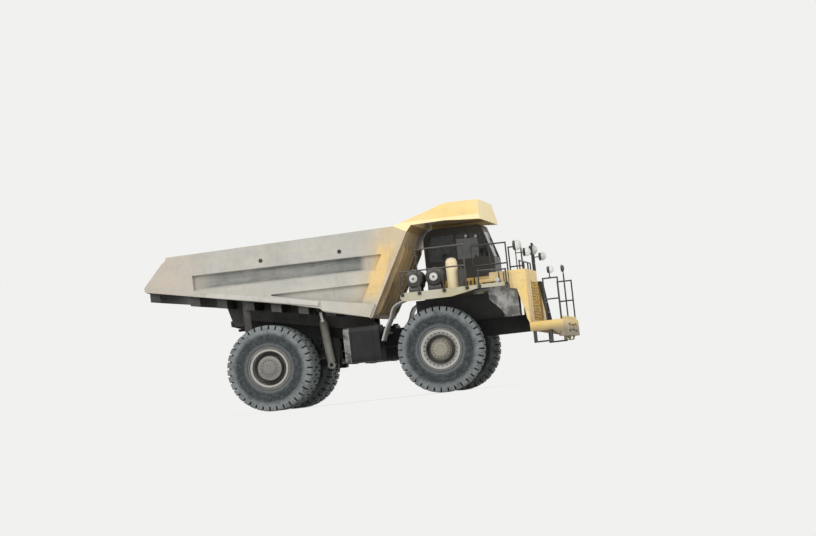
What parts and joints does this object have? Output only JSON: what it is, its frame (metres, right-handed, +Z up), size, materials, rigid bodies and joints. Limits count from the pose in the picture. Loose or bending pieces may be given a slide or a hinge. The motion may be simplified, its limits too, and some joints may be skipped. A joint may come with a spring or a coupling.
{
  "type": "mining dump truck",
  "caption": "Rigid two-axle mining dump truck with a tipping bed on telescopic hoists, steered front wheels, twin rear tyres, an offset cab and a deck.",
  "frame": {"origin": "on the ground, in the middle of the truck's length and width", "axes": "+X forward, +Y to the driver's left, +Z up"},
  "size_m": [10.45, 4.656, 4.705],
  "materials": {
    "bed_paint": "faded cream paint, chalky, dusty and scraped",
    "yellow_paint": "sun-faded yellow paint under dust",
    "deck_paint": "pale cream paint, walked and dusty",
    "frame_paint": "black frame paint, oily and dusty",
    "tank_paint": "dark olive-grey paint",
    "grey_paint": "grey paint under dust",
    "rail_paint": "pale tube, lightly worn",
    "rim_paint": "light grey rim paint, dusty",
    "floor_steel": "scoured wear plate, rusty and dusty",
    "hoist_steel": "ground chrome rod",
    "cast_iron": "greasy cast iron",
    "tyre_rubber": "rubber under pale dust",
    "cab_glass": "tinted safety glass",
    "lamp_glass": "clear lamp lens",
    "cab_trim": "black cab trim",
    "black_plastic": "black moulded plastic"
  },
  "bodies": {
    "chassis": {"main_frame": "frame_paint", "front_bumper": "yellow_paint", "radiator_grille": "frame_paint", "front_panels": "yellow_paint", "engine_hood": "yellow_paint", "engine_block": "cast_iron", "gearbox": "cast_iron", "deck": "deck_paint", "handrails": "rail_paint", "deck_boxes": "yellow_paint", "air_cleaners": "black_plastic", "canister": "yellow_paint", "ladders": "frame_paint", "cab_shell": "yellow_paint", "cab_glass": "cab_glass", "cab_interior": "cab_trim", "headlamps": "lamp_glass", "mirrors": "black_plastic", "battery_box": "grey_paint", "side_tanks": "tank_paint", "suspension_struts": "grey_paint", "rear_axle": "grey_paint", "mudguards": "grey_paint"},
    "dump_bed": {"bed_floor": "floor_steel", "bed_side_left": "bed_paint", "bed_side_right": "bed_paint", "bed_headboard": "bed_paint", "canopy": "yellow_paint"},
    "tie_rod": {"tie_rod": "grey_paint"},
    "cab_door": {"cab_door": "yellow_paint"},
    "knuckle_left": {"knuckle_left": "grey_paint"},
    "front_wheel_left": {"front_tyre_left": "tyre_rubber", "front_rim_left": "rim_paint"},
    "rear_wheels_left": {"rear_tyres_left": "tyre_rubber", "rear_rims_left": "rim_paint"},
    "hoist_barrel_left": {"hoist_barrel_left": "grey_paint"},
    "hoist_stage_left": {"hoist_stage_left": "hoist_steel"},
    "hoist_rod_left": {"hoist_rod_left": "hoist_steel"},
    "knuckle_right": {"knuckle_right": "grey_paint"},
    "front_wheel_right": {"front_tyre_right": "tyre_rubber", "front_rim_right": "rim_paint"},
    "rear_wheels_right": {"rear_tyres_right": "tyre_rubber", "rear_rims_right": "rim_paint"},
    "hoist_barrel_right": {"hoist_barrel_right": "grey_paint"},
    "hoist_stage_right": {"hoist_stage_right": "hoist_steel"},
    "hoist_rod_right": {"hoist_rod_right": "hoist_steel"}
  },
  "joints": [
    {"name": "dump", "type": "hinge", "parent": "chassis", "child": "dump_bed", "pos_m": [-3.185, 0, 2.35], "axis": [0, -1, 0], "range_deg": [0, 48]},
    {"name": "steer_left", "type": "hinge", "parent": "chassis", "child": "knuckle_left", "pos_m": [2.065, 1.15, 1.0725], "axis": [0, 0, 1], "range_deg": [-38, 38]},
    {"name": "front_wheel_left_spin", "type": "hinge", "parent": "knuckle_left", "child": "front_wheel_left", "pos_m": [2.065, 1.725, 1.0725], "axis": [0, 1, 0], "continuous": true},
    {"name": "rear_wheels_left_spin", "type": "hinge", "parent": "chassis", "child": "rear_wheels_left", "pos_m": [-2.235, 1.54, 1.0725], "axis": [0, 1, 0], "continuous": true},
    {"name": "hoist_left_lean", "type": "hinge", "parent": "chassis", "child": "hoist_barrel_left", "pos_m": [-0.855, 0.96, 1], "axis": [0, -1, 0], "range_deg": [0, 11.38]},
    {"name": "hoist_left_stage", "type": "slide", "parent": "hoist_barrel_left", "child": "hoist_stage_left", "axis": [-0.0974, 0, 0.9952], "range_m": [0, 0.8665]},
    {"name": "hoist_left_rod", "type": "slide", "parent": "hoist_stage_left", "child": "hoist_rod_left", "axis": [-0.0974, 0, 0.9952], "range_m": [0, 0.8665]},
    {"name": "steer_right", "type": "hinge", "parent": "chassis", "child": "knuckle_right", "pos_m": [2.065, -1.15, 1.0725], "axis": [0, 0, 1], "range_deg": [-38, 38]},
    {"name": "front_wheel_right_spin", "type": "hinge", "parent": "knuckle_right", "child": "front_wheel_right", "pos_m": [2.065, -1.725, 1.0725], "axis": [0, 1, 0], "continuous": true},
    {"name": "rear_wheels_right_spin", "type": "hinge", "parent": "chassis", "child": "rear_wheels_right", "pos_m": [-2.235, -1.54, 1.0725], "axis": [0, 1, 0], "continuous": true},
    {"name": "hoist_right_lean", "type": "hinge", "parent": "chassis", "child": "hoist_barrel_right", "pos_m": [-0.855, -0.96, 1], "axis": [0, -1, 0], "range_deg": [0, 11.38]},
    {"name": "hoist_right_stage", "type": "slide", "parent": "hoist_barrel_right", "child": "hoist_stage_right", "axis": [-0.0974, 0, 0.9952], "range_m": [0, 0.8665]},
    {"name": "hoist_right_rod", "type": "slide", "parent": "hoist_stage_right", "child": "hoist_rod_right", "axis": [-0.0974, 0, 0.9952], "range_m": [0, 0.8665]},
    {"name": "tie_rod_slide", "type": "slide", "parent": "chassis", "child": "tie_rod", "axis": [0, 1, 0], "range_m": [-0.2037, 0.2037]},
    {"name": "cab_door_hinge", "type": "hinge", "parent": "chassis", "child": "cab_door", "pos_m": [2.945, 1.78, 3.15], "axis": [0, 0, -1], "range_deg": [0, 80]}
  ],
  "couplings": [
    {"joint": "steer_right", "follows": "steer_left", "ratio": 1},
    {"joint": "tie_rod_slide", "follows": "steer_left", "m_per_rad": -0.30633},
    {"joint": "hoist_left_lean", "follows": "dump", "ratio": 0.23673},
    {"joint": "hoist_left_stage", "follows": "dump", "m_per_rad": 1.0337},
    {"joint": "hoist_left_rod", "follows": "dump", "m_per_rad": 1.0337},
    {"joint": "hoist_right_lean", "follows": "dump", "ratio": 0.23673},
    {"joint": "hoist_right_stage", "follows": "dump", "m_per_rad": 1.0337},
    {"joint": "hoist_right_rod", "follows": "dump", "m_per_rad": 1.0337}
  ]
}
